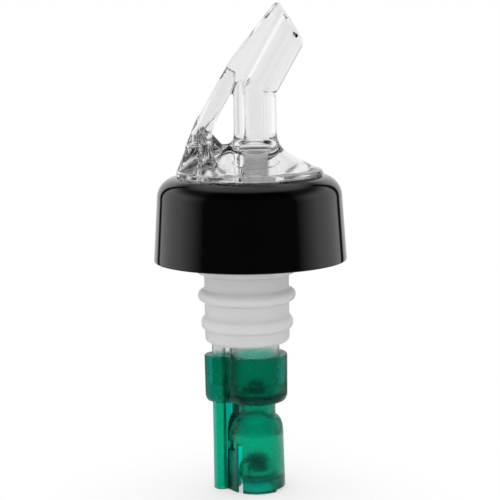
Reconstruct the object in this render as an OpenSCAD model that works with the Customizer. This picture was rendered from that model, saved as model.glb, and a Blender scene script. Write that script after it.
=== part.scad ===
// Measured liquor pourer for the neck of a bottle. A clear spout head sits on a black
// collar, a finned stopper plugs the bottle, and a passage tube runs down through it to a
// cage whose ball falls through a chamber while the drink flows, and then shuts it off.
// Lengths are in millimetres. The origin is on the stopper's axis, on the plane where the
// bottle's lip meets the stopper's flange. +Z is up, and +X is the way the spout leans.

/* [Collar] */
// Outer diameter of the collar at its bottom rim
collar_d = 41.3; // [38:0.1:50]
// How far the skirt hangs below the bottle's lip
collar_skirt = 14; // [10:0.5:18]
// Thickness of the skirt
collar_wall = 1.6; // [1.2:0.1:2.4]
// Thickness of the top that the head and the tube's flange clamp
collar_top_t = 1.3; // [1:0.1:2]
// Outer radius of the shoulder
collar_shoulder_r = 4.5; // [3:0.1:5.4]
// Draft of the skirt on each side, in degrees
collar_draft = 3.9; // [1:0.1:5]
// How far the collar and the head sit to the spout's side of the stopper's axis
collar_shift = 0.9; // [0:0.1:1.5]

/* [Stopper] */
// Diameter of the stopper's body
stopper_d = 18.2; // [17:0.1:22]
// Length of the stopper below the bottle's lip
stopper_len = 32; // [28:0.5:40]
// Diameter of the flange that lies on the bottle's lip
stopper_flange_d = 27.2; // [24:0.1:29]
// Thickness of that flange
stopper_flange_t = 1.6; // [1.2:0.1:2.4]
// Number of sealing fins
fin_count = 5; // [3:1:5]
// Diameter of the lowest fin
fin_d = 19.8; // [19.4:0.1:24]
// Growth in diameter from one fin to the next one up
fin_step = 1.24; // [0:0.02:1.3]
// Distance between fins
fin_pitch = 5.95; // [5:0.05:6.4]
// Width of a fin at its root
fin_w = 2.8; // [2:0.1:3.4]
// Width of the cylindrical land on a fin's edge
fin_land = 0.8; // [0.4:0.1:1.2]
// Height of the lowest fin above the stopper's end
fin_first = 4.4; // [3:0.1:6]

/* [Passage tube] */
// Offset of the pouring passage from the stopper's axis
stem_x = 1.6; // [1.2:0.1:1.8]
// Offset of the breather passage from the stopper's axis
breather_x = -6.05; // [-6.2:0.05:-5.8]
// Wall of the pouring passage
stem_wall = 0.98; // [0.8:0.02:1.2]
// Wall of the breather passage
breather_wall = 0.7; // [0.6:0.05:0.8]
// Bore of the breather passage
breather_bore_d = 1.9; // [1.4:0.1:2]
// Thickness of the web that joins the two passages
web_t = 2.2; // [1.4:0.1:3]
// Length of tube that shows between the stopper and the cup
stem_bare = 2.7; // [1:0.1:6]
// Length of tube that is pushed into the cup
stem_grip = 6.3; // [5:0.1:8]
// Thickness of the flange under the collar's top
stem_flange_t = 1; // [0.8:0.1:1.6]
// Bore of the throat above the ball stops
throat_d = 4.8; // [4:0.1:5.4]
// Wall of the nipple that enters the head
nipple_wall = 1.2; // [0.8:0.1:1.4]
// Height of that nipple above the flange
nipple_h = 5.6; // [4:0.1:6.4]
// Depth of the ball stops below the bottle's lip
stop_depth = 7; // [5:0.1:12]
// Height of the ball stops
stop_h = 4; // [2:0.1:4]
// Thickness of a ball stop
stop_t = 1.2; // [0.8:0.1:1.6]

/* [Balls] */
// Diameter of the metering ball
metering_ball_d = 7.94; // [6.6:0.01:9.2]
// Diameter of the shut-off ball
shutoff_ball_d = 6.35; // [5.8:0.01:6.6]
// Diameter of the breather ball
breather_ball_d = 3.18; // [2.6:0.01:3.4]
// Room around the shut-off ball in its passage
shutoff_gap = 1.125; // [0.8:0.025:1.3]
// Room around the metering ball in its chamber
metering_gap = 0.93; // [0.6:0.01:1.2]
// Room around the breather ball in its chamber
breather_gap = 0.16; // [0.1:0.01:0.2]

/* [Metering cage] */
// Wall of the cup around the tube
cup_wall = 1.65; // [1.2:0.05:2]
// Height of the cup above its floor's underside
cup_h = 10.3; // [9.8:0.1:13]
// Bore of the neck that both balls can shut
neck_bore_d = 5.2; // [4:0.1:5.4]
// Wall of the neck
neck_wall = 1.65; // [1.2:0.05:2]
// Length of the neck between the cup and the shoulder
neck_len = 3.4; // [2:0.1:5]
// Height of the shoulder outside
shoulder_h = 3.5; // [2.5:0.1:4]
// Height of the metering chamber below the shoulder
chamber_h = 12.6; // [11.5:0.1:20]
// Wall of the chamber at its top
cage_wall = 1; // [0.8:0.05:1.4]
// Growth of the chamber's outer radius from its top to its bottom
cage_flare = 0.3; // [0:0.05:0.5]
// How far the bottom lip reaches in under the ball
lip_grip = 0.37; // [0.2:0.01:0.6]
// Height of the bottom lip
lip_h = 2.35; // [1.6:0.05:3]
// Width of the slot in the chamber's front
slot_w = 0.85; // [0.6:0.05:1.4]
// Offset of the slot's middle from the chamber's axis
slot_x = -3.52; // [-3.8:0.02:-3]
// Height of the slot above the cage's bottom
slot_h = 10.5; // [8:0.1:12]
// Depth of the inlet port's top below the shoulder
port_drop = 1.8; // [1:0.1:2.4]
// Height of the inlet port
port_h = 1.8; // [1:0.1:2.4]
// Width of the inlet port
port_w = 1.2; // [0.8:0.1:1.6]
// Thickness of the fin between the breather leg and the cage
leg_web_t = 1.4; // [1:0.1:2]

/* [Head] */
// How far the disc reaches out past the collar's flat top
disc_overhang = 0.3; // [0.1:0.1:0.6]
// Thickness of the disc's rim
disc_t = 1.2; // [1:0.1:2]
// Ledge that the cone leaves on the disc's rim under the spout
rim_ledge = 0.2; // [0.1:0.05:0.5]
// Slope of the cone above the disc, in degrees
cone_slope = 29.7; // [20:0.1:34]
// Radius of the sweep from the cone into the pouring tube
cone_sweep_r = 5; // [2:0.1:6]
// Offset of the pouring tube from the stopper's axis
spout_x = 2.3; // [1.6:0.1:2.6]
// Bore of the pouring tube
spout_bore_d = 4; // [3:0.1:5]
// Wall of the pouring tube
spout_wall = 2.58; // [1.6:0.02:3]
// Height of the bend above the disc's underside
bend_h = 18.4; // [16:0.1:24]
// Lean of the spout from upright, in degrees
spout_lean = 29.5; // [20:0.5:35]
// Length of the leaning spout from the bend to the mouth
spout_len = 15.96; // [12:0.02:22]
// Bevel of the mouth away from a square cut, in degrees
mouth_bevel = 28.2; // [0:0.1:35]
// Outer diameter of the breather strut
strut_d = 3.7; // [3:0.1:4.2]
// Bore of the breather strut
strut_bore_d = 1.7; // [1.2:0.1:2]
// Distance of the strut's foot from the disc's rim
foot_inset = 4.9; // [4.7:0.1:5.3]
// Height of the foot above the disc's underside
foot_h = 8.7; // [7.6:0.1:10]
// How far the strut stands out of the spout's back where it meets the spout
rib_rise = 1.15; // [0.6:0.05:1.6]
// How far the rib has sunk into the spout's back at its tip
rib_sink = 0.5; // [0:0.05:1]
// Distance along the spout from the bend to where the strut meets it
rib_start = 2.2; // [1:0.1:4]
// Distance of the rib's tip from the mouth, along the spout
rib_short = 0.3; // [0:0.1:2]
// Length of the breather's mouth in the strut's back
vent_len = 2.6; // [1.5:0.1:4]
// Width of the breather's mouth
vent_w = 1.6; // [1:0.1:1.7]
// Height of the breather ball's chamber above the disc's underside
ball_chamber_h = 5.4; // [4.6:0.1:6]

/* [Fits] */
// Radial clearance between moulded pieces that push together
fit = 0.03; // [0.02:0.01:0.08]
// Clearance around the head's boss in the collar
boss_fit = 0.1; // [0.05:0.05:0.3]
// Clearance between the tube's flange and the inside of the collar's shoulder
flange_fit = 0.4; // [0.1:0.1:0.6]
// Gap between a ball and its seat
seat_gap = 0.02; // [0.01:0.01:0.05]

/* [Hidden] */
$fn = 96;
// Facets on the ends of a hull
facets = 32;
// Longer than any piece, for cuts that run right out of it
far = 60;
// How far a cut runs past the face that it opens
past = 1;
// How far joined shapes reach into each other
skin = 0.05;

clear_plastic = [0.86, 0.89, 0.9, 0.45];
black_plastic = [0.05, 0.05, 0.055];
milky_plastic = [0.8, 0.8, 0.79, 0.8];
green_plastic = [0.03, 0.5, 0.38, 0.85];
steel = [0.72, 0.72, 0.73];

// Heights of the stack above the bottle's lip
stem_flange_z = stopper_flange_t;
boss_z = stem_flange_z + stem_flange_t;
disc_z = boss_z + collar_top_t;
cone_z = disc_z + disc_t;

// The skirt's outer radius at a height, before the shoulder begins
function skirt_r(z) = collar_d / 2 - (z + collar_skirt) * tan(collar_draft);

// The collar's flat top outside and inside, which the disc and the tube's flange follow
inner_shoulder_r = collar_shoulder_r - collar_top_t;
collar_top_r = skirt_r(disc_z - collar_shoulder_r) - collar_shoulder_r;
collar_inner_top_r = skirt_r(boss_z - inner_shoulder_r) - collar_wall - inner_shoulder_r;
disc_r = collar_top_r + disc_overhang;
stem_flange_r = collar_inner_top_r - flange_fit;

// The passage tube's outline, shared by the stopper's bore and the cup
stem_bore_r = shutoff_ball_d / 2 + shutoff_gap;
stem_r = stem_bore_r + stem_wall;
breather_r = breather_bore_d / 2 + breather_wall;
stem_end_z = -stopper_len - stem_bare - stem_grip;
nipple_r = throat_d / 2 + nipple_wall;

// The metering cage, from the cup's rim to the bottom lip
cup_top_z = -stopper_len - stem_bare;
cup_floor_z = cup_top_z - cup_h;
neck_end_z = cup_floor_z - neck_len;
shoulder_end_z = neck_end_z - shoulder_h;
cage_end_z = shoulder_end_z - chamber_h;
neck_bore_r = neck_bore_d / 2;
neck_r = neck_bore_r + neck_wall;
metering_r = metering_ball_d / 2;
shutoff_r = shutoff_ball_d / 2;
chamber_bore_r = metering_r + metering_gap;
chamber_r = chamber_bore_r + cage_wall;
funnel_h = 2;
seat_drop = 0.2;
seat_z = neck_end_z - seat_drop;
seat_end_drop = 0.3;
seat_end_z = shoulder_end_z - seat_end_drop;
lip_r = metering_r - lip_grip;
lip_z = cage_end_z + lip_h;
lip_cone_h = 0.8;
notch_h = 0.5;
notch_inset = 0.7;
notch_x = stem_x + chamber_bore_r - notch_inset;

// Where each ball rests, and how far it can rise. A ball on an edge of radius r has its
// centre at sqrt(ball^2 - r^2) above that edge.
shutoff_rest_z = cup_floor_z + sqrt(pow(shutoff_r, 2) - pow(neck_bore_r, 2)) + seat_gap;
metering_rest_z = lip_z + sqrt(pow(metering_r, 2) - pow(lip_r, 2)) + seat_gap;

// The head
spout_bore_r = spout_bore_d / 2;
tube_r = spout_bore_r + spout_wall;
bend = [spout_x, disc_z + bend_h];
along = [sin(spout_lean), cos(spout_lean)];
back = [-cos(spout_lean), sin(spout_lean)];
foot_x = collar_shift - disc_r + foot_inset;
foot_top = [foot_x, disc_z + foot_h];
rib_foot = bend + rib_start * along + (tube_r + rib_rise) * back;
rib_tip = bend + (spout_len - rib_short) * along + (tube_r - rib_sink) * back;
mouth = bend + spout_len * along;
strut_way = (rib_foot - foot_top) / norm(rib_foot - foot_top);
rib_way = (rib_tip - rib_foot) / norm(rib_tip - rib_foot);
rib_nose = 1.2;
socket_r = nipple_r + fit;
socket_room = 1.4;
socket_top_z = boss_z + nipple_h + socket_room;
socket_cone_h = 1.4;
ball_chamber_r = breather_ball_d / 2 + breather_gap;
ball_chamber_top_z = disc_z + ball_chamber_h;
ball_chamber_cone_h = 1.2;
groove_h = 1.5;
foot_wall = 0.45;
foot_cap_t = 1;
foot_top_d = 2 * (ball_chamber_r + foot_wall);
strut_sink = 2;
strut_bore_sink = 0.3;
breather_rest_z = boss_z + breather_ball_d / 2 + seat_gap;

// The boss has room for the breather ball's chamber, and the collar's hole follows it
boss_wall = 0.8;
boss_r = collar_shift - foot_x + ball_chamber_r + boss_wall;

// A straight round bar between two points [x, z]
module bar(from, to, d1, d2) {
    step = to - from;
    translate([from.x, 0, from.y])
        rotate([0, atan2(step.x, step.y), 0])
            cylinder(d1 = d1, d2 = d2, h = norm(step));
}

// A round bar from a to c that turns at b, in a knuckle just wide enough to cover the mitre
module bent_bar(a, b, c, r) {
    first = b - a;
    second = c - b;
    turn = atan2(second.x, second.y) - atan2(first.x, first.y);
    bar(a, b, 2 * r, 2 * r);
    translate([b.x, 0, b.y]) sphere(r = r / cos(turn / 2) + skin);
    bar(b, c, 2 * r, 2 * r);
}

// The two round passages and the web between them, grown outwards by a clearance or wall
module stem_outline(grow) {
    translate([stem_x, 0]) circle(r = stem_r + grow);
    translate([breather_x, 0]) circle(r = breather_r + grow);
    translate([breather_x, -web_t / 2 - grow])
        square([stem_x - breather_x, web_t + 2 * grow]);
}

// One sealing fin, with elliptic flanks and a cylindrical land
module stopper_fin(r) {
    steps = 8;
    root = stopper_d / 2;
    reach = r - root;
    flank = (fin_w - fin_land) / 2;
    upper = [for (i = [0:steps]) [
        root + reach * sin(90 * i / steps),
        fin_land / 2 + flank * cos(90 * i / steps)]];
    lower = [for (i = [steps:-1:0]) [upper[i].x, -upper[i].y]];
    rotate_extrude()
        polygon(concat(
            [[root - past, fin_w / 2]], upper, lower, [[root - past, -fin_w / 2]]));
}

module stopper_body() {
    edge = 0.9;
    cylinder(d = stopper_flange_d, h = stopper_flange_t);
    translate([0, 0, -stopper_len + edge])
        cylinder(d = stopper_d, h = stopper_len - edge);
    translate([0, 0, -stopper_len])
        cylinder(d1 = stopper_d - 2 * edge, d2 = stopper_d, h = edge);
    for (i = [0:fin_count - 1])
        translate([0, 0, -stopper_len + fin_first + i * fin_pitch])
            stopper_fin((fin_d + i * fin_step) / 2);
}

module stopper() {
    color(milky_plastic)
        difference() {
            stopper_body();
            translate([0, 0, -stopper_len - past])
                linear_extrude(stopper_len + stopper_flange_t + 2 * past) stem_outline(fit);
        }
}

// A bell's outline between two heights, drawn in from the skirt's outside by a wall
function shell_outline(bottom_z, top_z, side, shoulder) =
    let (
        turn_z = top_z - shoulder,
        turn_r = skirt_r(turn_z) - side,
        steps = 14
    )
    concat(
        [[0, bottom_z], [skirt_r(bottom_z) - side, bottom_z]],
        [for (i = [0:steps]) [
            turn_r - shoulder * (1 - cos(90 * i / steps)),
            turn_z + shoulder * sin(90 * i / steps)]],
        [[0, top_z]]
    );

module collar() {
    outside = shell_outline(-collar_skirt, disc_z, 0, collar_shoulder_r);
    inside = shell_outline(-collar_skirt - past, boss_z, collar_wall, inner_shoulder_r);
    color(black_plastic)
        translate([collar_shift, 0, 0])
            difference() {
                rotate_extrude() polygon(outside);
                rotate_extrude() polygon(inside);
                translate([0, 0, boss_z - past])
                    cylinder(r = boss_r + boss_fit, h = collar_top_t + 2 * past);
            }
}

// The room for the shut-off ball, less the three stops that hold the ball off the throat
module ball_passage() {
    top_z = stop_h - stop_depth;
    translate([stem_x, 0, 0])
        difference() {
            translate([0, 0, stem_end_z - past])
                cylinder(r = stem_bore_r, h = top_z - stem_end_z + past);
            for (turn = [0:120:240])
                rotate([0, 0, turn])
                    translate([0, -stop_t / 2, -stop_depth])
                        cube([2 * stem_bore_r, stop_t, stop_h + past]);
        }
}

// The throat steps across from the passage to the nipple, inside the flange
module throat() {
    step_z = stem_flange_z + stem_flange_t / 2;
    translate([stem_x, 0, -stop_depth - past])
        cylinder(d = throat_d, h = step_z + stop_depth + past);
    translate([spout_x, 0, stem_flange_z])
        cylinder(d = throat_d, h = stem_flange_t + nipple_h + past);
}

module passage_tube() {
    color(milky_plastic)
        difference() {
            union() {
                translate([0, 0, stem_end_z])
                    linear_extrude(stem_flange_z - stem_end_z) stem_outline(0);
                translate([collar_shift, 0, stem_flange_z])
                    cylinder(r = stem_flange_r, h = stem_flange_t);
                translate([spout_x, 0, boss_z])
                    cylinder(r = nipple_r, h = nipple_h);
            }
            ball_passage();
            throat();
            translate([breather_x, 0, stem_end_z - past])
                cylinder(d = breather_bore_d, h = boss_z - stem_end_z + 2 * past);
        }
}

// The cup, the neck, the shoulder, the chamber and the breather leg as one moulding
module cage_body() {
    steps = 8;
    rise = chamber_r - neck_r;
    shoulder = [for (i = [0:steps]) [
        neck_r + rise * sin(90 * i / steps),
        neck_end_z - shoulder_h * (1 - cos(90 * i / steps))]];
    translate([0, 0, cup_floor_z])
        linear_extrude(cup_h) stem_outline(fit + cup_wall);
    translate([stem_x, 0, neck_end_z])
        cylinder(r = neck_r, h = neck_len + past);
    translate([stem_x, 0, 0])
        rotate_extrude()
            polygon(concat([[0, neck_end_z]], shoulder, [[0, shoulder_end_z]]));
    translate([stem_x, 0, cage_end_z])
        cylinder(r1 = chamber_r + cage_flare, r2 = chamber_r, h = chamber_h);
    translate([breather_x, 0, cage_end_z])
        cylinder(r = breather_r, h = cup_floor_z - cage_end_z + past);
    translate([breather_x, -leg_web_t / 2, cage_end_z])
        cube([stem_x - breather_x, leg_web_t, cup_floor_z - cage_end_z + past]);
}

// What the drink and the two balls move through
module cage_bores() {
    translate([stem_x, 0, cup_floor_z + funnel_h])
        cylinder(r = stem_bore_r, h = cup_h);
    translate([stem_x, 0, cup_floor_z])
        cylinder(r1 = neck_bore_r, r2 = stem_bore_r, h = funnel_h);
    translate([stem_x, 0, seat_z])
        cylinder(r = neck_bore_r, h = cup_floor_z - seat_z);
    translate([stem_x, 0, seat_end_z])
        cylinder(r1 = chamber_bore_r, r2 = neck_bore_r, h = seat_z - seat_end_z);
    translate([stem_x, 0, lip_z + lip_cone_h])
        cylinder(r = chamber_bore_r, h = seat_end_z - lip_z - lip_cone_h);
    translate([stem_x, 0, lip_z])
        cylinder(r1 = lip_r, r2 = chamber_bore_r, h = lip_cone_h);
    translate([stem_x, 0, cage_end_z - past])
        cylinder(r = lip_r, h = lip_h + past);
}

module metering_cage() {
    port_z = shoulder_end_z - port_drop - port_h;
    port_x = stem_x - chamber_bore_r - cage_wall;
    color(green_plastic)
        difference() {
            cage_body();
            translate([0, 0, stem_end_z])
                linear_extrude(far) stem_outline(fit);
            cage_bores();
            translate([breather_x, 0, cage_end_z - past])
                cylinder(d = breather_bore_d, h = stem_end_z - cage_end_z + 2 * past);
            translate([stem_x + slot_x - slot_w / 2, -far, cage_end_z - past])
                cube([slot_w, far, slot_h + past]);
            translate([port_x, -far, port_z])
                cube([port_w, far, port_h]);
            translate([notch_x, -far / 2, cage_end_z - past])
                cube([far, far, notch_h + past]);
        }
}

module metering_ball() {
    color(steel)
        translate([stem_x, 0, metering_rest_z]) sphere(r = metering_r);
}

module shutoff_ball() {
    color(steel)
        translate([stem_x, 0, shutoff_rest_z]) sphere(r = shutoff_r);
}

module breather_ball() {
    color(steel)
        translate([foot_x, 0, breather_rest_z]) sphere(d = breather_ball_d);
}

// The cone that rises from the disc and sweeps into the pouring tube
module head_cone() {
    steps = 8;
    turn = 90 - cone_slope;
    rim_r = collar_shift + disc_r - spout_x - rim_ledge;
    sweep_end_r = tube_r + cone_sweep_r * (1 - cos(turn));
    sweep_z = cone_z + (rim_r - sweep_end_r) * tan(cone_slope) + cone_sweep_r * sin(turn);
    sweep = [for (i = [0:steps]) [
        tube_r - skin + (cone_sweep_r + skin) * (1 - cos(turn * i / steps)),
        sweep_z - cone_sweep_r * sin(turn * i / steps)]];
    translate([spout_x, 0, 0])
        rotate_extrude()
            polygon(concat(
                [[0, sweep_z]], sweep,
                [[rim_r, cone_z], [rim_r, cone_z - skin], [0, cone_z - skin]]));
}

// The foot stands on the disc's rim and carries the strut
module head_foot() {
    hull() {
        translate([foot_top.x, 0, foot_top.y - foot_cap_t])
            cylinder(d = foot_top_d, h = foot_cap_t, $fn = facets);
        intersection() {
            translate([collar_shift, 0, disc_z + 2 * skin])
                cylinder(r = disc_r - skin, h = disc_t, $fn = 2 * facets);
            translate([-far, -far / 2, disc_z])
                cube([far + foot_x + foot_top_d / 2, far, disc_t + past]);
        }
    }
}

module head_solid() {
    translate([collar_shift, 0, disc_z]) cylinder(r = disc_r, h = disc_t);
    translate([collar_shift, 0, boss_z])
        cylinder(r = boss_r, h = collar_top_t + disc_t / 2);
    head_cone();
    head_foot();
    difference() {
        bent_bar([spout_x, disc_z], bend, mouth + disc_r * along, tube_r);
        translate([mouth.x, 0, mouth.y])
            rotate([0, spout_lean + mouth_bevel, 0])
                translate([-far, -far, 0]) cube(2 * far);
    }
    bent_bar(foot_top - strut_sink * strut_way, rib_foot, rib_tip, strut_d / 2);
    bar(rib_tip, rib_tip + rib_nose * rib_way, strut_d, strut_d / 2);
}

// The breather ball's chamber, the groove that feeds it and the strut's bore
module head_breather() {
    ball_top = [foot_x, ball_chamber_top_z + ball_chamber_cone_h];
    translate([foot_x, 0, boss_z - past])
        cylinder(r = ball_chamber_r, h = ball_chamber_top_z - boss_z + past);
    translate([foot_x, 0, ball_chamber_top_z])
        cylinder(r1 = ball_chamber_r, d2 = strut_bore_d, h = ball_chamber_cone_h);
    bent_bar(ball_top - [0, strut_bore_sink], foot_top, rib_foot, strut_bore_d / 2);
    translate([foot_x, -breather_bore_d / 2, boss_z - past])
        cube([breather_x - foot_x, breather_bore_d, groove_h + past]);
    translate([breather_x, 0, boss_z - past])
        cylinder(d = breather_bore_d, h = groove_h + past);
    translate([rib_foot.x, 0, rib_foot.y])
        rotate([0, atan2(rib_foot.x - foot_top.x, rib_foot.y - foot_top.y), 0])
            translate([-strut_d, -vent_w / 2, -vent_len])
                cube([strut_d, vent_w, vent_len]);
}

module spout_head() {
    color(clear_plastic)
        difference() {
            head_solid();
            bent_bar([spout_x, socket_top_z], bend, mouth + disc_r * along, spout_bore_r);
            translate([spout_x, 0, socket_top_z])
                cylinder(r1 = socket_r, r2 = spout_bore_r, h = socket_cone_h);
            translate([spout_x, 0, boss_z - past])
                cylinder(r = socket_r, h = socket_top_z - boss_z + past);
            head_breather();
        }
}

spout_head();
collar();
stopper();
passage_tube();
metering_cage();
metering_ball();
shutoff_ball();
breather_ball();
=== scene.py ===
"""A measured liquor pourer: clear spout head, black collar, finned stopper, green metering cage.

Shapes are written as distance fields in millimetres, in the part's own frame, and meshed on a
grid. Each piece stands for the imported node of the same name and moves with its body.
"""

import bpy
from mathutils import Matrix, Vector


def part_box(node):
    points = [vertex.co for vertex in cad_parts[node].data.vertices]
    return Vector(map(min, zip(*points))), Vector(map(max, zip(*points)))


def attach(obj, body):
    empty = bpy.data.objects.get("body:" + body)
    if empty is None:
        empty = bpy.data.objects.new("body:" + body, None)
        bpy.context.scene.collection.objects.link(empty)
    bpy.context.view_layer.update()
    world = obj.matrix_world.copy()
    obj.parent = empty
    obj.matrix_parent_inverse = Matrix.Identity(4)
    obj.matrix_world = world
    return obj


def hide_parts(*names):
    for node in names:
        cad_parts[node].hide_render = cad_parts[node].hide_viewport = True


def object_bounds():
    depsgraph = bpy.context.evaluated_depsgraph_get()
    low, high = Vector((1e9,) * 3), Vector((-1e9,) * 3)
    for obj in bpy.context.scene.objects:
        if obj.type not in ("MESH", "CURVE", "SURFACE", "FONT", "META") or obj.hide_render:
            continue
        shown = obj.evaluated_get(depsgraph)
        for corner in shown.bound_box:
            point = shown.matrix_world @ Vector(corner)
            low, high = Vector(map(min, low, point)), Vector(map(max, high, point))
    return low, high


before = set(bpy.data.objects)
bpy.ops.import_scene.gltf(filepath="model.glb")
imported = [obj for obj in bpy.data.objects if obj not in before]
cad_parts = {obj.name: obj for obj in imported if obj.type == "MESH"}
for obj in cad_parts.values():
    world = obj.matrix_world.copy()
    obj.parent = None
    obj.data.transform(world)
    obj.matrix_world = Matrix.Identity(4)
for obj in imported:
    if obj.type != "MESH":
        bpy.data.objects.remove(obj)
cad_box = [list(corner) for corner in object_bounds()]

import math

import bpy
import numpy as np
from mathutils import Matrix, Vector

MM = 0.001

# Heights of the stack, in millimetres above the bottle's lip
FLANGE_Z = 1.6
BOSS_Z = 2.6
DISC_Z = 3.9
CONE_Z = 5.1

# Axes of the passages, along X
COLLAR_X = 0.9
STEM_X = 1.6
SPOUT_X = 2.3
BREATHER_X = -6.05
FOOT_X = -9.75
MIDDLE_X = (STEM_X + BREATHER_X) / 2

# Radii of the bores that the drink and the air pass through
PASSAGE_R = 4.3
THROAT_R = 2.4
BREATHER_BORE_R = 0.95

# Room left round pieces that push together, and between stacked faces, so that none coincide
FIT = 0.03
STACK_GAP = 0.02

# A height below every piece, for bores that go right through
BELOW_ALL = -70


# Distance fields

def smooth_min(a, b, k):
    """Union of two fields with a fillet about k wide."""
    h = np.maximum(k - np.abs(a - b), 0) / k
    return np.minimum(a, b) - h * h * k / 4


def smooth_max(a, b, k):
    """Intersection of two fields with its edge rounded over about k."""
    return -smooth_min(-a, -b, k)


def cut(a, b, k):
    """Field a less field b, with the edge rounded over about k."""
    return smooth_max(a, -b, k)


def union(*fields):
    return np.minimum.reduce(fields)


def common(*fields):
    return np.maximum.reduce(fields)


def past_range(value, low, high):
    """How far a value lies outside low to high; negative inside."""
    return np.abs(value - (low + high) / 2) - (high - low) / 2


def ease(share):
    """A share held to 0 to 1, with a level start and end."""
    share = np.clip(share, 0, 1)
    return share * share * (3 - 2 * share)


def rounded(side, end, edge):
    """A solid of revolution or an extrusion from its side and end distances, with round edges."""
    s, e = side + edge, end + edge
    return np.minimum(np.maximum(s, e), 0) + np.hypot(np.maximum(s, 0), np.maximum(e, 0)) - edge


def radius_about(p, x):
    """Distance from the upright axis through (x, 0)."""
    return np.hypot(p[0] - x, p[1])


def upright(p, x, r, low, high, edge=0.1):
    """An upright cylinder about (x, 0) from low to high."""
    return rounded(radius_about(p, x) - r, past_range(p[2], low, high), edge)


def direction(a, b):
    """The way from a to b, one unit long."""
    way = np.array(b) - np.array(a)
    return way / np.hypot(*way)


def right_of(p, a, b):
    """How far each point lies to the right of the line from a to b, in the XZ plane."""
    way = direction(a, b)
    return (p[0] - a[0]) * way[1] - (p[2] - a[1]) * way[0]


def along(p, a, b):
    """How far past a each point lies, along the way from a to b."""
    way = direction(a, b)
    return (p[0] - a[0]) * way[0] + (p[2] - a[1]) * way[1]


def line_distance(p, a, b):
    """Distance to the endless line through a and b, which lie in the XZ plane."""
    return np.hypot(right_of(p, a, b), p[1])


def mitred(p, a, b, c, r, soft=0.01):
    """Two round bars without ends, through a and b and through b and c, that meet on a mitre."""
    mitre = direction(a, b) + direction(b, c)
    beyond = (p[0] - b[0]) * mitre[0] + (p[2] - b[1]) * mitre[1]
    share = ease(beyond / soft + 0.5)
    return (1 - share) * line_distance(p, a, b) + share * line_distance(p, b, c) - r


def ellipse(u, v, across, up):
    """Distance to an ellipse of semi-axes across and up, near enough for meshing."""
    k0 = np.hypot(u / across, v / up)
    k1 = np.hypot(u / across ** 2, v / up ** 2)
    return k0 * (k0 - 1) / np.maximum(k1, 1e-6)


# Meshing

def surface_net(field, low, high, cell):
    """Vertices and quads of the field's zero surface, on a grid of cells."""
    low, high = np.array(low, float), np.array(high, float)
    count = np.ceil((high - low) / cell).astype(int) + 1
    axes = [low[i] + cell * np.arange(count[i]) for i in range(3)]
    values = field(np.meshgrid(*axes, indexing="ij"))
    inside = values < 0
    cells = tuple(count - 1)
    place = np.zeros(cells + (3,))
    hits = np.zeros(cells)
    crossings = []
    for axis in range(3):
        near = [slice(None)] * 3
        far = [slice(None)] * 3
        near[axis], far[axis] = slice(None, -1), slice(1, None)
        near, far = tuple(near), tuple(far)
        crosses = inside[near] != inside[far]
        with np.errstate(divide="ignore", invalid="ignore"):
            share = np.where(crosses, values[near] / (values[near] - values[far]), 0)
        crossings.append((crosses, inside[near]))
        others = [i for i in range(3) if i != axis]
        for du in (0, 1):
            for dv in (0, 1):
                take = [slice(None)] * 3
                take[others[0]] = slice(du, du + cells[others[0]])
                take[others[1]] = slice(dv, dv + cells[others[1]])
                hit = crosses[tuple(take)]
                place[..., axis] += share[tuple(take)] * hit
                place[..., others[0]] += du * hit
                place[..., others[1]] += dv * hit
                hits += hit
    active = hits > 0
    number = -np.ones(cells, int)
    number[active] = np.arange(active.sum())
    corners = np.argwhere(active)
    points = low + cell * (corners + place[active] / hits[active][:, None])
    quads = []
    for axis, (crosses, starts_inside) in enumerate(crossings):
        u, v = (axis + 1) % 3, (axis + 2) % 3
        edges = np.argwhere(crosses)
        edges = edges[(edges[:, u] > 0) & (edges[:, v] > 0)]
        edges = edges[(edges[:, u] < cells[u]) & (edges[:, v] < cells[v])]
        ring = []
        for du, dv in ((1, 1), (0, 1), (0, 0), (1, 0)):
            shifted = edges.copy()
            shifted[:, u] -= du
            shifted[:, v] -= dv
            ring.append(number[tuple(shifted.T)])
        ring = np.stack(ring, axis=1)
        outward = starts_inside[tuple(edges.T)]
        ring[~outward] = ring[~outward][:, ::-1]
        quads.append(ring)
    return points, np.concatenate(quads)


def gradient(field, points, step=0.01):
    """The field's slope at each point."""
    slope = np.empty_like(points)
    for axis in range(3):
        shift = np.zeros(3)
        shift[axis] = step
        slope[:, axis] = (field((points + shift).T) - field((points - shift).T)) / (2 * step)
    return slope


def settle(field, points, reach):
    """Moves each point onto the zero surface, by no more than reach at a time."""
    least_slope = 0.05
    for _ in range(3):
        slope = gradient(field, points)
        size = np.maximum((slope ** 2).sum(axis=1), least_slope)
        step = slope * (field(points.T) / size)[:, None]
        length = np.linalg.norm(step, axis=1)
        step *= np.minimum(1, reach / np.maximum(length, 1e-9))[:, None]
        points = points - step
    return points


def relax(points, quads):
    """Moves each point halfway to the middle of its neighbours, which evens out the quads."""
    total = np.zeros_like(points)
    count = np.zeros(len(points))
    for i in range(4):
        here, there = quads[:, i], quads[:, (i + 1) % 4]
        np.add.at(total, here, points[there])
        np.add.at(total, there, points[here])
        np.add.at(count, here, 1)
        np.add.at(count, there, 1)
    return points + (total / count[:, None] - points) / 2


def add_object(name, points, faces, normals=None):
    """A smooth-shaded object from points in millimetres."""
    mesh = bpy.data.meshes.new(name)
    mesh.from_pydata((points * MM).tolist(), [], faces.tolist())
    mesh.update()
    mesh.shade_smooth()
    if normals is not None:
        mesh.normals_split_custom_set_from_vertices(normals.tolist())
    piece = bpy.data.objects.new(name, mesh)
    bpy.context.scene.collection.objects.link(piece)
    return piece


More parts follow.
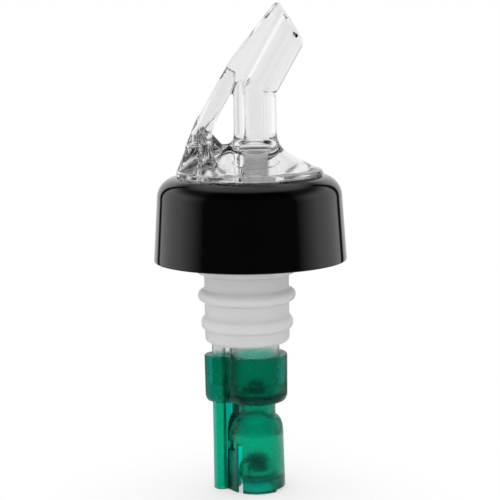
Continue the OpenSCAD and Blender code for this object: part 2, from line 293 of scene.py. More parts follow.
def solid(name, field, low, high, cell):
    """A closed object on the field's zero surface, with the field's own normals."""
    points, quads = surface_net(field, low, high, cell)
    points = settle(field, points, cell)
    for _ in range(3):
        points = settle(field, relax(points, quads), cell / 2)
    normals = gradient(field, points)
    normals /= np.maximum(np.linalg.norm(normals, axis=1), 1e-9)[:, None]
    return add_object(name, points, quads, normals)


def stand_for(piece, node, body):
    """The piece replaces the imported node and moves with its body."""
    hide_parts(node)
    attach(piece, body)


# The two passages' outline, shared by the stopper's bore, the tube and the cup

STEM_R = 5.28
BREATHER_R = 1.65
WEB = 2.2


def passages(p, wall):
    """The outline of the two passages and the web between them, grown by a wall."""
    pour = radius_about(p, STEM_X) - STEM_R - wall
    breather = radius_about(p, BREATHER_X) - BREATHER_R - wall
    half = (STEM_X - BREATHER_X) / 2
    web = np.maximum(np.abs(p[0] - MIDDLE_X) - half, np.abs(p[1]) - WEB / 2 - wall)
    return smooth_min(union(pour, breather), web, 0.3)


# Spout head

BEND = (SPOUT_X, 22.3)
SPOUT_LEAN = math.radians(29.5)
SPOUT_WAY = np.array([math.sin(SPOUT_LEAN), math.cos(SPOUT_LEAN)])
SPOUT_BACK = np.array([-math.cos(SPOUT_LEAN), math.sin(SPOUT_LEAN)])
SPOUT_R = 4.58
SPOUT_BORE_R = 2.0
SPOUT_LEN = 15.96
MOUTH = tuple(np.array(BEND) + SPOUT_LEN * SPOUT_WAY)
MOUTH_LEAN = math.radians(57.7)
DISC_R = 15.5
BOSS_R = 13.2
CONE_SLOPE = math.radians(29.7)
CONE_EDGE_R, CONE_EDGE_Z = 13.43, 5.0

# The strut that carries the air, the thick back that it runs into, and the foot that it stands on
STRUT_HALF = 1.85
STRUT_BORE_R = 0.85
STRUT_FOOT = (FOOT_X, 12.6)


def off_bend(along_spout, behind_spout):
    """A point that far along the leaning spout from its bend, and that far behind its axis."""
    return tuple(np.array(BEND) + along_spout * SPOUT_WAY + behind_spout * SPOUT_BACK)


STRUT_TOP = off_bend(2.2, 5.73)
STRUT_LEN = math.dist(STRUT_FOOT, STRUT_TOP)
BACK_LOW, BACK_HIGH = off_bend(2.2, 7.55), off_bend(15.66, 5.3)
STRUT_DEPTH, BACK_DEPTH = 2.0, 3.5
STRUT_EDGE, BACK_EDGE = STRUT_HALF, 1.0
VENT_START, VENT_END = 1.0, 3.8
FOOT_TOP_X, FOOT_TOP_Z = -7.93, 15.8
FOOT_LOW, FOOT_HIGH = (-14.5, 5.1), (-10.05, 15.8)
FOOT_H = FOOT_TOP_Z - CONE_Z

# The socket for the tube's nipple, with its domed ceiling
NIPPLE_R, NIPPLE_TOP = 3.6, 7.0
SOCKET_R, SOCKET_TOP = NIPPLE_R + FIT, 8.4
DOME_H = 3.4


def past_mouth(p):
    """How far each point lies past the plane of the spout's mouth."""
    across = (p[0] - MOUTH[0]) * math.sin(MOUTH_LEAN)
    return across + (p[2] - MOUTH[1]) * math.cos(MOUTH_LEAN)


def back_field(p):
    """The breather strut and the thick back of the leaning spout, which it runs into."""
    side = right_of(p, STRUT_FOOT, STRUT_TOP)
    left = smooth_max(-side - STRUT_HALF, -right_of(p, BACK_LOW, BACK_HIGH), 0.4)
    left = smooth_max(left, -right_of(p, FOOT_LOW, FOOT_HIGH), 0.3)
    under = 23.4 - p[2] - 0.1 * (p[0] + 1)
    right = smooth_max(right_of(p, BEND, MOUTH), under, 0.8)
    right = smooth_min(side - STRUT_HALF, right, 0.5)
    outline = smooth_max(left, right, 0.1)
    outline = smooth_max(outline, -along(p, STRUT_FOOT, STRUT_TOP) - 3.5, 0.3)
    depth = STRUT_DEPTH + (BACK_DEPTH - STRUT_DEPTH) * ease((p[2] - 13) / 13)
    edge = STRUT_EDGE - (STRUT_EDGE - BACK_EDGE) * np.clip((p[2] - 25) / 5, 0, 1)
    back = ellipse(np.maximum(outline + edge, 1e-4), p[1], edge, depth)
    return smooth_max(back, past_mouth(p), 2.4)


def valley_field(p):
    """The low ridge between the foot and the pouring tube."""
    top = 10.7 + 1.1 * np.maximum(-4.8 - p[0], 0)
    crest = 0.8
    ridge = (p[2] - top + 0.95 * (np.hypot(p[1], crest) - crest)) * 0.6
    return smooth_max(ridge, past_range(p[0], -9, 2), 0.3)


def foot_field(p):
    """The foot: it grows out of the strut and flares down to the disc's rim."""
    share = np.clip((FOOT_TOP_Z - p[2]) / FOOT_H, -0.1, 1.08)
    middle = share * COLLAR_X + (1 - share) * FOOT_TOP_X
    outer = radius_about(p, middle) - (DISC_R - 0.1) * share - 2.1 * (1 - share)
    width = 2.0 + 3.0 * share + 10 * share ** 6
    slope = (3.0 + 60 * np.maximum(share, 0) ** 5) / FOOT_H
    side = (np.abs(p[1]) - width) / np.sqrt(1 + slope ** 2)
    edge = -7.8 + 3.6 * (p[1] / 15) ** 2 + 0.56 * np.maximum(p[2] - 12, 0)
    foot = smooth_max(outer * 0.93, side, 2.4)
    foot = smooth_max(foot, p[0] - edge, 1.4)
    return smooth_max(foot, past_range(p[2], 4.5, 16.3), 0.8)


def boss_field(p):
    """The tapered boss under the disc, which the collar and the tube's flange fit round."""
    boss = upright(p, COLLAR_X, BOSS_R, BOSS_Z, DISC_Z + 0.5)
    taper = radius_about(p, COLLAR_X) - (BOSS_R - 0.2) + 1.2 * (DISC_Z - p[2])
    return smooth_max(boss, np.where(p[2] < DISC_Z, taper * 0.64, -1), 0.1)


def pouring_tube(p):
    """The upright tube and the leaning spout, with a shallow crease outside their bend."""
    tube = mitred(p, (SPOUT_X, DISC_Z), BEND, MOUTH, SPOUT_R, 0.6)
    turn = SPOUT_LEAN / 2
    bend = (p[0] - BEND[0]) * math.sin(turn) + (p[2] - BEND[1]) * math.cos(turn)
    outer_side = np.clip((p[0] - BEND[0]) / 4.5, 0, 1)
    tube = tube + 0.3 * np.exp(-(bend / 0.45) ** 2) * outer_side
    return smooth_max(tube, DISC_Z + 0.5 - p[2], 0.1)


def head_outside(p):
    """The head without its passages."""
    disc = upright(p, COLLAR_X, DISC_R, DISC_Z, CONE_Z, 0.12)
    rise = (p[2] - CONE_EDGE_Z) * math.cos(CONE_SLOPE)
    cone = rise + (radius_about(p, SPOUT_X) - CONE_EDGE_R) * math.sin(CONE_SLOPE)
    cone = smooth_max(cone, DISC_Z + 0.4 - p[2], 0.1)
    body = smooth_min(pouring_tube(p), cone, 2.7)
    body = smooth_min(body, valley_field(p), 0.9)
    stem = smooth_min(back_field(p), foot_field(p), 0.8)
    body = smooth_min(body, stem, 0.9)
    body = smooth_max(body, past_mouth(p), 1.0)
    body = smooth_min(body, disc, 0.25)
    body = smooth_max(body, DISC_Z + FIT - p[2], 0.05)
    return smooth_min(body, boss_field(p), 0.15)


def pour_way(p):
    """The drink's way: the nipple's socket, its domed ceiling, the bore and the flared mouth."""
    bore = mitred(p, (SPOUT_X, DISC_Z), BEND, MOUTH, SPOUT_BORE_R)
    bore = smooth_max(bore, 10.0 - p[2], 0.1)
    depth = past_mouth(p) + 0.7
    flare = (line_distance(p, BEND, MOUTH) - SPOUT_BORE_R - 0.8 * depth) * 0.78
    flare = np.maximum(flare, -depth)
    radius = np.maximum(radius_about(p, SPOUT_X), 1e-4)
    dome = ellipse(radius, np.maximum(p[2] - SOCKET_TOP, 0), SOCKET_R, DOME_H)
    dome = np.maximum(dome, SOCKET_TOP - p[2])
    socket = upright(p, SPOUT_X, SOCKET_R, 0, SOCKET_TOP + 0.1, 0.05)
    return union(bore, flare, dome, socket)


def air_way(p):
    """The air's way: a groove, the breather ball's chamber, the strut's bore and its vent."""
    chamber = upright(p, FOOT_X, 1.75, 0, 10.3, 0.5)
    riser = mitred(p, (FOOT_X, 9.0), STRUT_FOOT, STRUT_TOP, STRUT_BORE_R)
    riser = np.maximum(riser, 9.5 - p[2])
    below_top = STRUT_LEN - along(p, STRUT_FOOT, STRUT_TOP)
    riser = smooth_max(riser, VENT_START - below_top, 0.8)
    groove = common(np.abs(p[1]) - BREATHER_BORE_R, p[2] - 4.1)
    groove = common(groove, FOOT_X - p[0], p[0] - BREATHER_X - BREATHER_BORE_R)
    out = past_range(right_of(p, STRUT_FOOT, STRUT_TOP), -3, -0.6)
    vent = common(out, np.abs(p[1]) - 0.8, past_range(below_top, VENT_START, VENT_END))
    return union(chamber, riser, groove, vent)


def head_field(p):
    return cut(head_outside(p), union(pour_way(p), air_way(p)), 0.25)


def make_head():
    piece = solid("head_shell", head_field, (-15.6, -15.9, 2.2), (17.4, 15.9, 41.2), HEAD_CELL)
    stand_for(piece, "spout_head", "pourer")
    return piece


# Collar

COLLAR_R = 20.64
COLLAR_BOTTOM = -14.0
COLLAR_DRAFT = math.radians(3.9)
COLLAR_WALL = 1.6
COLLAR_HOLE_R = 13.3
SHOULDER_R = 4.5
SHOULDER_Z = DISC_Z - SHOULDER_R


def arc(middle, r, start, end, steps):
    """Points on an arc, by angle in degrees."""
    angles = np.radians(np.linspace(start, end, steps + 1))
    return [(middle[0] + r * math.cos(a), middle[1] + r * math.sin(a)) for a in angles]


def lathe(name, outline, x, segments=192):
    """A closed piece turned about the upright axis at x from a closed outline of (r, z)."""
    rings = np.array(outline)
    turn = np.linspace(0, 2 * math.pi, segments, endpoint=False)
    points = np.stack([
        x + rings[:, 0][:, None] * np.cos(turn),
        rings[:, 0][:, None] * np.sin(turn),
        np.repeat(rings[:, 1][:, None], segments, axis=1)], axis=-1).reshape(-1, 3)
    ring, seg = np.meshgrid(np.arange(len(rings)), np.arange(segments), indexing="ij")
    next_ring, next_seg = (ring + 1) % len(rings), (seg + 1) % segments
    faces = np.stack([
        ring * segments + seg, ring * segments + next_seg,
        next_ring * segments + next_seg, next_ring * segments + seg], axis=-1).reshape(-1, 4)
    return add_object(name, points, faces)


def collar_side(z):
    """The radius of the collar's outside at a height."""
    return COLLAR_R - (z - COLLAR_BOTTOM) * math.tan(COLLAR_DRAFT)


def collar_outline():
    """Up the outside, over the shoulder, down the hole and back along the inside."""
    edge, lip_edge = 0.2, 0.15
    under_z = BOSS_Z + STACK_GAP
    bottom_r, turn_r = collar_side(COLLAR_BOTTOM), collar_side(SHOULDER_Z)
    outside = arc((bottom_r - edge, COLLAR_BOTTOM + edge), edge, -90, 0, 5)
    heights = np.linspace(COLLAR_BOTTOM + 1, SHOULDER_Z - 0.5, 12)
    skirt = [(collar_side(z), z) for z in heights]
    over = arc((turn_r - SHOULDER_R, SHOULDER_Z), SHOULDER_R, 0, 90, 20)
    lip = arc((COLLAR_HOLE_R + lip_edge, DISC_Z - lip_edge), lip_edge, 90, 180, 3)
    under = [(COLLAR_HOLE_R, under_z), (COLLAR_HOLE_R + 0.5, under_z)]
    inner_r = SHOULDER_R - (DISC_Z - BOSS_Z)
    back = arc((turn_r - COLLAR_WALL - inner_r, under_z - inner_r), inner_r, 90, 0, 12)
    heights = np.linspace(SHOULDER_Z - 1, COLLAR_BOTTOM + 1, 8)
    inner = [(collar_side(z) - COLLAR_WALL, z) for z in heights]
    inner_bottom_r = bottom_r - COLLAR_WALL
    inner += [(inner_bottom_r + 0.2, COLLAR_BOTTOM + 0.2), (inner_bottom_r + 0.5, COLLAR_BOTTOM)]
    return outside + skirt + over + lip + under + back + inner


def make_collar():
    piece = lathe("collar_shell", collar_outline(), COLLAR_X)
    stand_for(piece, "collar", "pourer")
    return piece


# Stopper

FINS = [(-27.6 + 5.95 * i, 9.9 + 0.62 * i) for i in range(5)]
FIN_HALF = 1.3
STOPPER_R = 9.1
STOPPER_END = -31.85


def stopper_field(p):
    """The plug with its fins, each a round-edged bead, and its flange."""
    radius = radius_about(p, 0)
    body = upright(p, 0, STOPPER_R, STOPPER_END, 0.8, 1.1)
    for z, r in FINS:
        fin = ellipse(radius - STOPPER_R, p[2] - z, r - STOPPER_R, FIN_HALF)
        body = smooth_min(body, fin, np.where(p[2] > z, 0.5, 0.1))
    flange = upright(p, 0, 13.6, 0, FLANGE_Z - STACK_GAP, 0.25)
    body = smooth_min(body, flange, 0.5)
    return cut(body, passages(p, FIT), 0.15)


def make_stopper():
    piece = solid("stopper_plug", stopper_field, (-14, -14, -32.6), (14, 14, 2.2), STOPPER_CELL)
    stand_for(piece, "stopper", "pourer")
    return piece


# Passage tube

TUBE_END = -41.0
TUBE_FLANGE_R = 14.5


def tube_field(p):
    """The two-lobed tube with its flange and nipple, and three stops for the shut-off ball."""
    stem = rounded(passages(p, 0), past_range(p[2], TUBE_END, FLANGE_Z), 0.1)
    flange = upright(p, COLLAR_X, TUBE_FLANGE_R, FLANGE_Z, BOSS_Z - STACK_GAP, 0.15)
    nipple = upright(p, SPOUT_X, NIPPLE_R, BOSS_Z - 0.5, NIPPLE_TOP, 1.1)
    body = union(stem, flange, nipple)
    passage = upright(p, STEM_X, PASSAGE_R, -50, -3, 0.1)
    for turn in (0, 120, 240):
        a = math.radians(turn)
        u = (p[0] - STEM_X) * math.cos(a) + p[1] * math.sin(a)
        v = -(p[0] - STEM_X) * math.sin(a) + p[1] * math.cos(a)
        stop = common(-u, np.abs(v) - 0.6, past_range(p[2], -7, -1))
        passage = cut(passage, stop, 0.1)
    lower_throat = upright(p, STEM_X, THROAT_R, -8, 2.1, 0.05)
    upper_throat = upright(p, SPOUT_X, THROAT_R, 1.6, 12, 0.05)
    breather = upright(p, BREATHER_X, BREATHER_BORE_R, -50, 5, 0.05)
    return cut(body, union(passage, lower_throat, upper_throat, breather), 0.15)


def make_tube():
    piece = solid("passage_stem", tube_field, (-14, -15, -41.4), (16, 15, 8.6), TUBE_CELL)
    stand_for(piece, "passage_tube", "pourer")
    return piece


# Metering cage

CUP_TOP = -34.7
CUP_FLOOR = -45.0
CUP_H = 10.3
CUP_WALL = 1.68
SHOULDER_END = -51.9
SHOULDER_H = 3.5
CAGE_END = -64.5
NECK_R, NECK_BORE_R = 4.25, 2.6
CHAMBER_R, CHAMBER_BORE_R = 5.9, 4.9
CHAMBER_FLARE = 0.3
CAGE_WEB_HALF = 0.8
CAGE_WEB_REACH = 3.8
LIP_Z, LIP_R = -62.15, 3.6
SLOT_X, SLOT_HALF, SLOT_TOP = STEM_X - 3.52, 0.425, -54.0


def cage_outside(p):
    """The cup, neck, metering chamber, breather leg and web, all without their bores."""
    draft = 0.012 * (CUP_TOP - p[2])
    cup_end = np.abs(p[2] - (CUP_TOP + CUP_FLOOR) / 2) - CUP_H / 2
    cup = rounded(passages(p, CUP_WALL - draft), cup_end, 0.25)
    under = smooth_max(cup, (CUP_FLOOR - p[2] + passages(p, 0.9)) * 0.7, 0.6)
    radius = radius_about(p, STEM_X)
    above = p[2] - SHOULDER_END
    neck = upright(p, STEM_X, NECK_R, SHOULDER_END - 1, CUP_FLOOR + 1, 0.1)
    shoulder = ellipse(radius - NECK_R, above, CHAMBER_R - NECK_R, SHOULDER_H)
    shoulder = np.where(radius < NECK_R, np.abs(above) - SHOULDER_H, shoulder)
    wall_r = CHAMBER_R - CHAMBER_FLARE * above / (SHOULDER_END - CAGE_END)
    chamber = rounded(radius - wall_r, past_range(p[2], CAGE_END, SHOULDER_END), 0.15)
    chamber = smooth_min(chamber, np.maximum(shoulder, -above - 0.3), 0.1)
    leg = upright(p, BREATHER_X, BREATHER_R, CAGE_END, CUP_FLOOR + 1, 0.15)
    web_end = past_range(p[2], CAGE_END, CUP_FLOOR + 1)
    web = common(np.abs(p[1]) - CAGE_WEB_HALF, np.abs(p[0] - MIDDLE_X) - CAGE_WEB_REACH, web_end)
    lower = smooth_min(union(neck, chamber, leg), web, 2.4)
    return smooth_max(smooth_min(under, lower, 0.4), CAGE_END - p[2], 0.15)


def cage_inside(p):
    """The cage's bores, seats and openings, from the cup down to the notch in its end."""
    radius = radius_about(p, STEM_X)
    socket = np.maximum(passages(p, FIT), TUBE_END - p[2])
    cup = upright(p, STEM_X, PASSAGE_R, -43.0, -30, 0.1)
    funnel = (radius - NECK_BORE_R - (p[2] - CUP_FLOOR) * 0.85) * 0.76
    funnel = np.maximum(funnel, past_range(p[2], -45.05, -42.95))
    neck = upright(p, STEM_X, NECK_BORE_R, -50, CUP_FLOOR + 0.1, 0.02)
    seat = (radius - NECK_BORE_R + (p[2] + 48.6) * 0.639) * 0.84
    seat = np.maximum(seat, past_range(p[2], -52.25, -48.55))
    chamber = upright(p, STEM_X, CHAMBER_BORE_R, -61.35, -52.2, 0.1)
    lip = (radius - LIP_R - (p[2] - LIP_Z) * 1.62) * 0.52
    lip = np.maximum(lip, past_range(p[2], -62.17, -61.33))
    mouth = upright(p, STEM_X, LIP_R, BELOW_ALL, -62.1, 0.02)
    breather = upright(p, BREATHER_X, BREATHER_BORE_R, BELOW_ALL, -40, 0.02)
    slot = common(np.abs(p[0] - SLOT_X) - SLOT_HALF, p[2] - SLOT_TOP, p[1])
    port = common(past_range(p[0], -4.3, -3.1), past_range(p[2], -55.5, -53.7), p[1])
    notch = np.maximum(5.8 - p[0], p[2] + 64.0)
    ways = (socket, cup, funnel, neck, seat, chamber, lip, mouth, breather)
    return union(*ways, slot, port, notch)


def cage_field(p):
    return cut(cage_outside(p), cage_inside(p), 0.15)


def make_cage():
    piece = solid("cage_shell", cage_field, (-10, -7.6, -64.9), (9.2, 7.6, -34.3), CAGE_CELL)
    stand_for(piece, "metering_cage", "pourer")
    return piece


# Balls

def make_ball(name, node):
    """A steel ball in the place of its node: a cube's faces, divided and blown round."""
    low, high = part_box(node)
    middle = (np.array(low) + np.array(high)) / 2 / MM
    r = (high[2] - low[2]) / 2 / MM
    steps = 24
    line = np.tan(np.linspace(-math.pi / 4, math.pi / 4, steps + 1))
    points, faces, found = [], [], {}
    for axis in range(3):
        for side in (-1, 1):
            index = np.zeros((steps + 1, steps + 1), int)
            for i, u in enumerate(line):
                for j, v in enumerate(line):
                    spot = np.zeros(3)
                    spot[axis], spot[(axis + 1) % 3], spot[(axis + 2) % 3] = side, u, v
                    key = tuple(np.round(spot, 6))
                    if key not in found:
                        found[key] = len(points)
                        points.append(middle + r * spot / np.linalg.norm(spot))
                    index[i, j] = found[key]
            quads = [index[:-1, :-1], index[1:, :-1], index[1:, 1:], index[:-1, 1:]]
            quads = np.stack(quads, axis=-1).reshape(-1, 4)
            faces.append(quads if side > 0 else quads[:, ::-1])
    points = np.array(points)
    normals = (points - middle) / r
    piece = add_object(name, points, np.concatenate(faces), normals)
    stand_for(piece, node, node)
    return piece


# Materials

def new_material(name):
    material = bpy.data.materials.new(name)
    material.use_nodes = True
    tree = material.node_tree
    return material, tree, tree.nodes["Principled BSDF"]


def add_node(tree, kind, **values):
    """A node with its properties and its inputs set by name."""
    node = tree.nodes.new(kind)
    for key, value in values.items():
        if key in node.inputs:
            node.inputs[key].default_value = value
        else:
            setattr(node, key, value)
    return node


def combine(tree, operation, *values, clamp=False):
    """The result of a maths node, whose values are numbers or other nodes' outputs."""
    node = add_node(tree, "ShaderNodeMath", operation=operation, use_clamp=clamp)
    for socket, value in zip(node.inputs, values):
        if isinstance(value, (int, float)):
            socket.default_value = value
        else:
            tree.links.new(value, socket)
    return node.outputs[0]


def map_range(tree, source, reach, levels, **kind):
    """The source carried from its reach, low to high, over to the levels."""
    span = add_node(tree, "ShaderNodeMapRange", **kind)
    names = ("From Min", "From Max", "To Min", "To Max")
    for name, value in zip(names, (*reach, *levels)):
        span.inputs[name].default_value = value
    tree.links.new(source, span.inputs["Value"])
    return span.outputs["Result"]


def object_noise(tree, scale, detail=2.0):
    """Noise in the part's own metres."""
    where = tree.nodes.new("ShaderNodeTexCoord")
    noise = add_node(tree, "ShaderNodeTexNoise", Scale=scale, Detail=detail)
    tree.links.new(where.outputs["Object"], noise.inputs["Vector"])
    return noise.outputs["Fac"]


def add_bump(tree, shader, source, depth):
    bump = add_node(tree, "ShaderNodeBump", Strength=0.2, Distance=depth)
    tree.links.new(source, bump.inputs["Height"])
    tree.links.new(bump.outputs["Normal"], shader.inputs["Normal"])


def vary_roughness(tree, shader, noise, low, high):
    """Lets the noise move the roughness between two values."""
    roughness = map_range(tree, noise, (0.3, 0.7), (low, high))
    tree.links.new(roughness, shader.inputs["Roughness"])


def clear_plastic():
    material, tree, shader = new_material("clear_plastic")
    shader.inputs["Base Color"].default_value = (0.973, 0.973, 0.973, 1)
    shader.inputs["IOR"].default_value = 1.49
    shader.inputs["Transmission Weight"].default_value = 1.0
    flow = object_noise(tree, 160)
    add_bump(tree, shader, flow, 0.02 * MM)
    vary_roughness(tree, shader, flow, 0.0, 0.02)
    return material


def black_plastic():
    material, tree, shader = new_material("black_plastic")
    shader.inputs["Base Color"].default_value = (0.0006, 0.0006, 0.0007, 1)
    shader.inputs["IOR"].default_value = 1.5
    ripple = object_noise(tree, 90, 3)
    add_bump(tree, shader, ripple, 0.02 * MM)
    vary_roughness(tree, shader, ripple, 0.05, 0.09)
    return material


def translucent(name, dark, light, transmission, depth, cloud_size, rough):
    """A clouded plastic: some light goes through it and the rest scatters within depth metres."""
    material, tree, shader = new_material(name)
    shader.inputs["IOR"].default_value = 1.49
    shader.inputs["Transmission Weight"].default_value = transmission
    if depth:
        shader.inputs["Subsurface Weight"].default_value = 1.0
        shader.inputs["Subsurface Radius"].default_value = (1, 1, 1)
        shader.inputs["Subsurface Scale"].default_value = depth
    cloud = object_noise(tree, cloud_size, 3)
    mix = add_node(tree, "ShaderNodeMix", data_type="RGBA")
    mix.inputs[6].default_value = dark
    mix.inputs[7].default_value = light
    tree.links.new(cloud, mix.inputs[0])
    tree.links.new(mix.outputs[2], shader.inputs["Base Color"])
    vary_roughness(tree, shader, cloud, *rough)
    return material, tree, shader


def milky_plastic():
    dark, light = (0.76, 0.76, 0.755, 1), (0.8, 0.8, 0.795, 1)
    return translucent("milky_plastic", dark, light, 0.05, 0.004, 220, (0.4, 0.5))[0]


def natural_plastic():
    """Nearly clear along the stem, and clouded in the thick nipple above the flange."""
    dark, light = (0.92, 0.92, 0.91, 1), (0.96, 0.95, 0.94, 1)
    clear, clouded = 0.94, 0.05
    material, tree, shader = translucent(
        "natural_plastic", dark, light, clear, 0.0012, 200, (0.24, 0.32))
    where = tree.nodes.new("ShaderNodeTexCoord")
    split = tree.nodes.new("ShaderNodeSeparateXYZ")
    tree.links.new(where.outputs["Object"], split.inputs["Vector"])
    weight = map_range(tree, split.outputs["Z"], (0, 3 * MM), (clear, clouded))
    tree.links.new(weight, shader.inputs["Transmission Weight"])
    return material


def green_plastic():
    """Tinted right through: the colour deepens with the thickness that the light crosses."""
    dark, light = (0.012, 0.78, 0.56, 1), (0.016, 0.82, 0.59, 1)
    material, tree, shader = translucent("green_plastic", dark, light, 1.0, 0, 130, (0.22, 0.3))
    shader.inputs["Specular Tint"].default_value = (0.12, 0.9, 0.7, 1)
    tint = add_node(
        tree, "ShaderNodeVolumeAbsorption", Color=(0.0, 0.9, 0.895, 1), Density=2600.0)
    tree.links.new(tint.outputs["Volume"], tree.nodes["Material Output"].inputs["Volume"])
    return material


def polished_steel():
    material, tree, shader = new_material("polished_steel")
    shader.inputs["Base Color"].default_value = (0.72, 0.71, 0.69, 1)
    shader.inputs["Metallic"].default_value = 1.0
    scratch = object_noise(tree, 900)
    add_bump(tree, shader, scratch, 0.002 * MM)
    vary_roughness(tree, shader, scratch, 0.08, 0.16)
    return material


# Studio

CAMERA_AT = Vector((0.82, -316.3, 36.3)) * MM
CAMERA_TARGET = Vector((0.82, 0, -12.1)) * MM
CAMERA_ROLL = math.radians(0.87)
FOCAL_PIXELS = 1495.3
IMAGE_PIXELS = 500


def make_camera():
    data = bpy.data.cameras.new("camera")
    camera = bpy.data.objects.new("camera", data)
    bpy.context.scene.collection.objects.link(camera)
    back = (CAMERA_AT - CAMERA_TARGET).normalized()
    level = Vector((0, 0, 1)).cross(back).normalized()
    upward = back.cross(level)
    right = level * math.cos(CAMERA_ROLL) - upward * math.sin(CAMERA_ROLL)
    up = level * math.sin(CAMERA_ROLL) + upward * math.cos(CAMERA_ROLL)
    turn = Matrix((right, up, back)).transposed().to_4x4()
    camera.matrix_world = Matrix.Translation(CAMERA_AT) @ turn
    data.sensor_width = 36
    data.lens = data.sensor_width * FOCAL_PIXELS / IMAGE_PIXELS
    data.clip_start, data.clip_end = 0.01, 20
    bpy.context.scene.camera = camera


# Name, azimuth and elevation in degrees, and radiance of each lamp; azimuth 0 is the camera's
SOFTBOXES = [
    ("left_softbox", -100, 6, 0.5),
    ("right_softbox", 95, 6, 0.5),
    ("top_softbox", 170, 72, 0.8),
    ("front_softbox", -8, 4, 1.0),
]
SOFTBOX_WIDTH, SOFTBOX_HEIGHT, SOFTBOX_DISTANCE = 0.7, 0.6, 0.6


def softbox(name, azimuth, elevation, radiance):
    """An area lamp that faces the object from a direction round it."""
    data = bpy.data.lights.new(name, "AREA")
    data.shape = "RECTANGLE"
    data.size, data.size_y = SOFTBOX_WIDTH, SOFTBOX_HEIGHT
    data.energy = radiance * math.pi * SOFTBOX_WIDTH * SOFTBOX_HEIGHT
    light = bpy.data.objects.new(name, data)
    bpy.context.scene.collection.objects.link(light)
    a, e = math.radians(azimuth), math.radians(elevation)
    way = Vector((math.sin(a) * math.cos(e), -math.cos(a) * math.cos(e), math.sin(e)))
    light.location = way * SOFTBOX_DISTANCE
    light.rotation_mode = "QUATERNION"
    light.rotation_quaternion = way.to_track_quat("Z", "Y")
    light.visible_camera = False
    light.visible_glossy = False
    light.visible_transmission = False


# Brightness round the object, by degrees from straight behind it; positive is to the right
MIRRORED_RING = [
    (-180, 0.03), (-122, 0.04), (-100, 0.7), (-88, 1.0), (-45, 1.05), (-42, 0.02), (-36, 0.02),
    (-33, 0.92), (33, 0.92), (36, 0.02), (43, 0.02), (47, 1.05), (90, 1.0), (104, 0.6),
    (122, 0.04), (180, 0.03)]
SEEN_THROUGH_RING = [
    (-180, 0.15), (-122, 0.3), (-100, 0.8), (-88, 1.0), (-44, 1.05), (-33, 0.9), (33, 0.9),
    (36, 0.7), (41, 0.7), (46, 0.88), (90, 0.88), (104, 0.6), (122, 0.04), (180, 0.15)]

# Brightness below the ring, and the heights between which the ring gives way to it
MIRRORED_BELOW = (0.03, -0.25, -0.2)
SEEN_THROUGH_BELOW = (0.85, -0.22, -0.12)

# The glow overhead, a little towards the back, and how far the ring fades upwards
OVERHEAD_WAY = (0, 0.29, 0.957)
OVERHEAD_REACH, OVERHEAD_LEVELS = (0.78, 0.93), (0, 0.75)
RING_FADE_REACH, RING_FADE_LEVELS = (0.4, 0.7), (1.0, 0.12)

# Even light for scattering surfaces, and the more that reaches them through clear plastic
FILL_LEVEL = 0.6
FILL_THROUGH_PLASTIC = 0.4


def ring_level(tree, share, levels):
    """Brightness by direction, from a list of (degrees, level)."""
    ring = tree.nodes.new("ShaderNodeValToRGB")
    stops = ring.color_ramp.elements
    for degrees, level in levels[1:-1]:
        stops.new(degrees / 360 + 0.5).color = (level, level, level, 1)
    for stop, (_, level) in zip((stops[0], stops[-1]), (levels[0], levels[-1])):
        stop.color = (level, level, level, 1)
    tree.links.new(share, ring.inputs["Fac"])
    return ring.outputs["Color"]


def soft_step(tree, source, reach, levels):
    return map_range(tree, source, reach, levels, interpolation_type="SMOOTHSTEP")


def blend_shaders(tree, share, first, second):
    mix = tree.nodes.new("ShaderNodeMixShader")
    for socket, source in zip(mix.inputs, (share, first, second)):
        tree.links.new(source, socket)
    return mix.outputs[0]


def background(tree, strength):
    """White light of a strength that is a number or another node's output."""
    light = add_node(tree, "ShaderNodeBackground", Color=(1, 1, 1, 1))
    if isinstance(strength, float):
        light.inputs["Strength"].default_value = strength
    else:
        tree.links.new(strength, light.inputs["Strength"])
    return light.outputs[0]


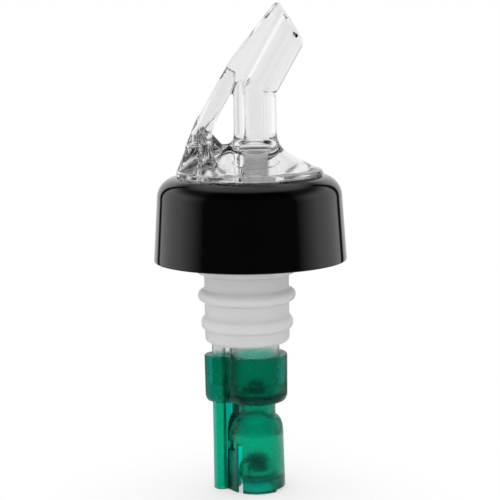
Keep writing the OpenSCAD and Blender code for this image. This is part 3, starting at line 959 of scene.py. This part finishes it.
def make_world():
    """White to the camera, even fill for scattering, a studio in what is mirrored or seen through."""
    world = bpy.data.worlds.new("studio")
    bpy.context.scene.world = world
    world.use_nodes = True
    tree = world.node_tree
    tree.nodes.clear()
    link = tree.links.new
    where = tree.nodes.new("ShaderNodeTexCoord")
    split = tree.nodes.new("ShaderNodeSeparateXYZ")
    link(where.outputs["Generated"], split.inputs["Vector"])
    height = split.outputs["Z"]
    turn = combine(tree, "ARCTAN2", split.outputs["X"], split.outputs["Y"])
    share = map_range(tree, turn, (-math.pi, math.pi), (0, 1))
    up = add_node(tree, "ShaderNodeVectorMath", operation="DOT_PRODUCT")
    up.inputs[1].default_value = OVERHEAD_WAY
    link(where.outputs["Generated"], up.inputs[0])
    overhead = soft_step(tree, up.outputs["Value"], OVERHEAD_REACH, OVERHEAD_LEVELS)
    ring_fade = soft_step(tree, height, RING_FADE_REACH, RING_FADE_LEVELS)
    path = tree.nodes.new("ShaderNodeLightPath").outputs

    def room(levels, floor_level, low, high):
        """A ring of brightness with a glow overhead and one level below."""
        ring = ring_level(tree, share, levels)
        level = add_node(tree, "ShaderNodeMix", data_type="FLOAT")
        link(soft_step(tree, height, (low, high), (0, 1)), level.inputs[0])
        level.inputs[2].default_value = floor_level
        link(combine(tree, "MULTIPLY_ADD", ring, ring_fade, overhead), level.inputs[3])
        return background(tree, level.outputs[0])

    def not_scattered(kind):
        """1 for rays of a kind that no surface has scattered yet."""
        return combine(tree, "SUBTRACT", path[kind], path["Diffuse Depth"], clamp=True)

    through = path["Is Transmission Ray"]
    fill = combine(tree, "MULTIPLY_ADD", through, FILL_THROUGH_PLASTIC, FILL_LEVEL)
    mirrored = room(MIRRORED_RING, *MIRRORED_BELOW)
    seen_through = room(SEEN_THROUGH_RING, *SEEN_THROUGH_BELOW)
    lit = background(tree, fill)
    lit = blend_shaders(tree, not_scattered("Is Glossy Ray"), lit, mirrored)
    lit = blend_shaders(tree, not_scattered("Is Transmission Ray"), lit, seen_through)
    lit = blend_shaders(tree, path["Is Camera Ray"], lit, background(tree, 1.0))
    out = tree.nodes.new("ShaderNodeOutputWorld")
    link(lit, out.inputs["Surface"])


FLOOR_RADIUS = 80 * MM
FLOOR_CORNERS = 96
FLOOR_GLOW = 0.5


def make_floor():
    """A pale floor under the cage, white where no shadow falls on it."""
    z = cad_box[0][2] - 0.02 * MM
    turns = [2 * math.pi * i / FLOOR_CORNERS for i in range(FLOOR_CORNERS)]
    points = [(FLOOR_RADIUS * math.cos(a), FLOOR_RADIUS * math.sin(a), z) for a in turns]
    mesh = bpy.data.meshes.new("floor")
    mesh.from_pydata(points, [], [list(range(FLOOR_CORNERS))])
    floor = bpy.data.objects.new("floor", mesh)
    bpy.context.scene.collection.objects.link(floor)
    material, tree, shader = new_material("floor_white")
    shader.inputs["Base Color"].default_value = (0.6, 0.6, 0.6, 1)
    shader.inputs["Roughness"].default_value = 0.9
    shader.inputs["Specular IOR Level"].default_value = 0.0
    shader.inputs["Emission Color"].default_value = (1, 1, 1, 1)
    path = tree.nodes.new("ShaderNodeLightPath").outputs
    seen = combine(tree, "MAXIMUM", path["Is Camera Ray"], path["Is Glossy Ray"])
    seen = combine(tree, "MAXIMUM", seen, path["Is Transmission Ray"])
    glow = combine(tree, "MULTIPLY", seen, FLOOR_GLOW)
    tree.links.new(glow, shader.inputs["Emission Strength"])
    mesh.materials.append(material)


HEAD_CELL = STOPPER_CELL = TUBE_CELL = 0.3
CAGE_CELL = 0.2

bpy.context.scene.view_settings.view_transform = "Standard"
make_camera()
make_world()
for lamp in SOFTBOXES:
    softbox(*lamp)
make_floor()

finishes = {
    make_head(): clear_plastic(),
    make_collar(): black_plastic(),
    make_stopper(): milky_plastic(),
    make_tube(): natural_plastic(),
    make_cage(): green_plastic(),
}
steel = polished_steel()
for node in ("metering_ball", "shutoff_ball", "breather_ball"):
    finishes[make_ball(node + "_steel", node)] = steel
for piece, material in finishes.items():
    piece.data.materials.append(material)
